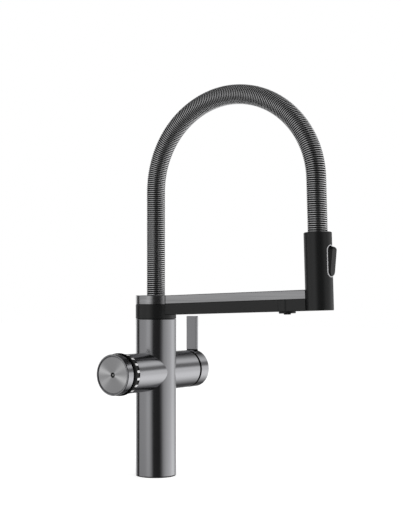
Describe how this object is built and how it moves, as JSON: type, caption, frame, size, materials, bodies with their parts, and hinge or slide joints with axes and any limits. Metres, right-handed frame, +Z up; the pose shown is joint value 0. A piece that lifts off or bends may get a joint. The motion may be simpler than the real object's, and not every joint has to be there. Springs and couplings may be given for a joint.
{
  "type": "boiling water tap",
  "caption": "Boiling water tap: column with cross barrels, mixer lever, turn-and-press hot water dial, and a swivel arm with its own outlet and a pull-off spray head held up by a sprung hose.",
  "frame": {"origin": "centre of the column's foot, on the worktop, over the tap hole", "axes": "+Z up along the column, -Y along the arm towards the spray head, +X towards the mixer lever"},
  "size_m": [0.1666, 0.2746, 0.5432],
  "materials": {
    "gunmetal": "satin gunmetal",
    "silver": "fine brushed",
    "steel": "plain",
    "brass": "machined",
    "black_plastic": "satin",
    "gloss_black": "glossy",
    "nylon": "matt",
    "rubber": "matt"
  },
  "bodies": {
    "column": {"column_body": "gunmetal", "base_seal": "rubber", "mounting_shank": "brass", "base_screw": "steel", "rubber_washer": "rubber", "steel_washer": "steel", "mounting_nut": "brass", "inlet_manifold": "brass", "hot_supply_tube": "steel", "cold_supply_tube": "steel", "filtered_supply_tube": "steel", "boiling_supply_tube": "steel", "valve_core": "brass", "mixer_cartridge": "nylon", "cartridge_nut": "brass", "hot_valve": "nylon", "hot_valve_nut": "brass", "mixed_riser": "steel", "hot_riser": "steel", "swivel_spigot": "brass", "spigot_seals": "rubber", "swivel_glide_ring": "nylon", "swivel_clip": "steel", "lever_gap_ring": "rubber"},
    "lever": {"lever_cap": "gunmetal", "lever_bar": "gunmetal", "lever_gasket": "rubber", "lever_stem": "brass", "lever_screws": "steel"},
    "dial": {"dial_ring": "black_plastic", "dial_ticks": "silver", "dial_spindle": "brass", "dial_screw": "steel"},
    "button": {"button_cup": "silver", "button_face": "silver", "lens_ring": "gloss_black", "button_lens": "nylon", "button_plunger": "black_plastic", "button_spring": "steel"},
    "arm": {"arm_body": "black_plastic", "arm_cover": "gunmetal", "arm_screws": "steel", "spring_seat": "brass", "hose_spring": "gunmetal", "spray_hose": "rubber", "outlet_flange": "black_plastic", "outlet_nozzle": "gloss_black", "arm_water_tube": "nylon", "dock_magnet": "steel"},
    "spray_head": {"head_shell": "black_plastic", "selector_bezel": "silver", "selector_pin": "steel", "hose_connector": "brass", "diverter_valve": "nylon", "spray_chamber": "nylon", "dock_plate": "steel", "spray_face": "black_plastic", "spray_nozzles": "rubber", "head_aerator": "silver"},
    "selector": {"selector_paddle": "gloss_black"}
  },
  "joints": [
    {"name": "arm_swivel", "type": "hinge", "parent": "column", "child": "arm", "pos_m": [0, 0, 0.2], "axis": [0, 0, 1], "range_deg": [-70, 70]},
    {"name": "lever_turn", "type": "hinge", "parent": "column", "child": "lever", "pos_m": [0.07, 0, 0.1283], "axis": [1, 0, 0], "range_deg": [0, 90]},
    {"name": "dial_turn", "type": "hinge", "parent": "column", "child": "dial", "pos_m": [-0.07, 0, 0.1283], "axis": [-1, 0, 0], "range_deg": [-90, 90]},
    {"name": "button_press", "type": "slide", "parent": "dial", "child": "button", "axis": [1, 0, 0], "range_m": [0, 0.0015], "stiffness_N_per_m": 400, "springref_m": -0.002, "deforming": ["button_spring"]},
    {"name": "head_undock", "type": "slide", "parent": "arm", "child": "spray_head", "axis": [0, -0.9995, 0.0314], "range_m": [0, 0.06], "deforming": ["hose_spring", "spray_hose"]},
    {"name": "selector_press", "type": "hinge", "parent": "spray_head", "child": "selector", "pos_m": [0, -0.24133, 0.24826], "axis": [-1, 0, 0], "range_deg": [0, 6], "stiffness_Nm_per_rad": 0.15, "springref_deg": -5.73}
  ]
}
